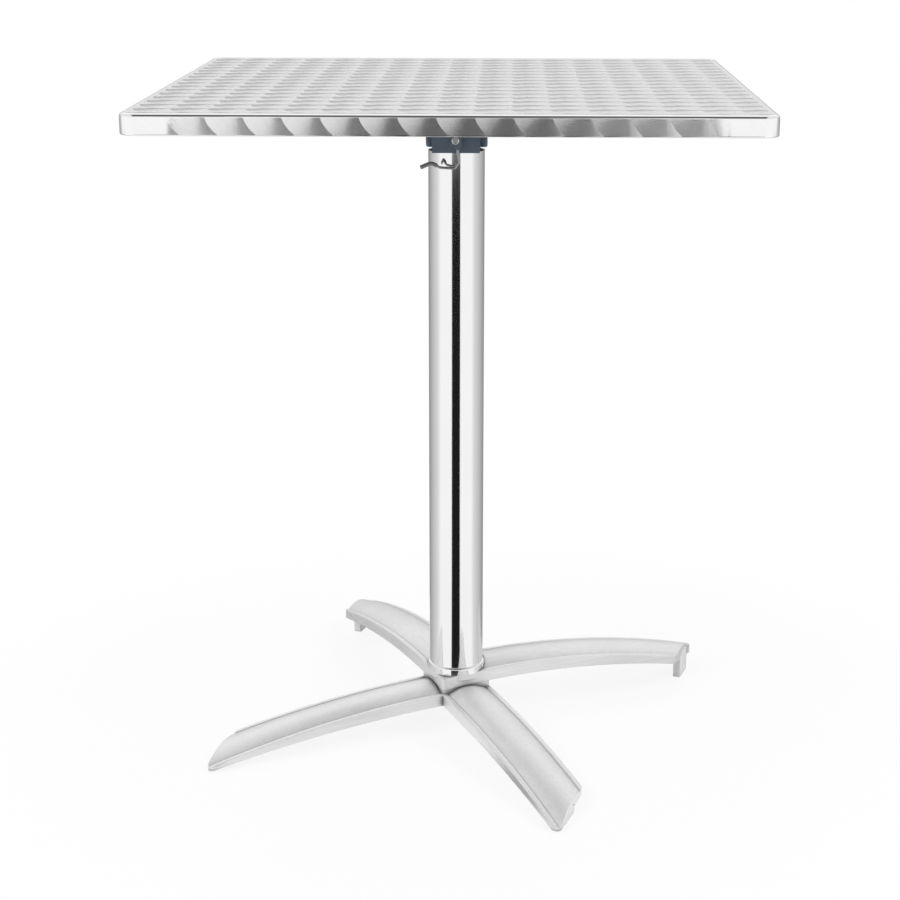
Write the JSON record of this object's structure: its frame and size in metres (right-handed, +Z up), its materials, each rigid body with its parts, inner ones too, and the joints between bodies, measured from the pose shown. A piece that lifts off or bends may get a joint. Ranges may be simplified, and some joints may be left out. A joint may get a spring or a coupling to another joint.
{
  "type": "flip-top bistro table",
  "caption": "Square stainless steel flip-top bistro table: swirl-finished top, latch lever, round polished column and stacked V-shaped cast feet with push-in pads.",
  "frame": {"origin": "on the floor under the column axis, which is the middle of the square top", "axes": "+Z up, +X to the right as seen from the release lever's side, +Y away from that side"},
  "size_m": [0.6, 0.6025, 0.72],
  "materials": {
    "swirl_steel": "stainless steel ground in rows of overlapping swirls",
    "board": "raw particle board",
    "backing": "dark backing laminate",
    "slate_paint": "satin slate blue-grey powder coat",
    "zinc_steel": "bright zinc plate",
    "column_aluminium": "polished and anodised tube",
    "cast_aluminium": "satin polished die casting",
    "foot_nylon": "light grey moulded nylon",
    "bush_nylon": "natural nylon",
    "stop_rubber": "black rubber",
    "sleeve_rubber": "dark moulded sleeve",
    "lever_wire": "dark coated wire",
    "spring_wire": "drawn spring wire"
  },
  "bodies": {
    "stand": {"column_head": "slate_paint", "pivot_bushes": "bush_nylon", "stop_buffers": "stop_rubber", "lever_screw": "zinc_steel", "lever_spring": "spring_wire", "column_tube": "column_aluminium", "column_collar": "column_aluminium", "upper_legs": "cast_aluminium", "lower_legs": "cast_aluminium", "hub_dowels": "zinc_steel", "tie_rod": "zinc_steel", "rod_washers": "zinc_steel", "rod_nuts": "zinc_steel", "foot_right": "foot_nylon", "foot_back": "foot_nylon", "foot_left": "foot_nylon", "foot_front": "foot_nylon"},
    "top": {"top_sheet": "swirl_steel", "top_core": "board", "top_underside": "backing", "flip_bracket": "slate_paint", "bracket_screws": "zinc_steel", "keeper": "slate_paint", "keeper_screws": "zinc_steel", "pivot_bolt": "zinc_steel", "pivot_washer": "zinc_steel", "pivot_nut": "zinc_steel"},
    "lever": {"latch_pawl": "slate_paint", "release_lever": "lever_wire", "lever_sleeve": "sleeve_rubber"}
  },
  "joints": [
    {"name": "top_flip", "type": "hinge", "parent": "stand", "child": "top", "pos_m": [0, 0.012, 0.661], "axis": [-1, 0, 0], "range_deg": [0, 90]},
    {"name": "lever_swing", "type": "hinge", "parent": "stand", "child": "lever", "pos_m": [0, -0.0375, 0.6645], "axis": [0, 1, 0], "range_deg": [0, 18], "stiffness_Nm_per_rad": 0.4, "springref_deg": -8.59, "deforming": ["lever_spring"]}
  ]
}
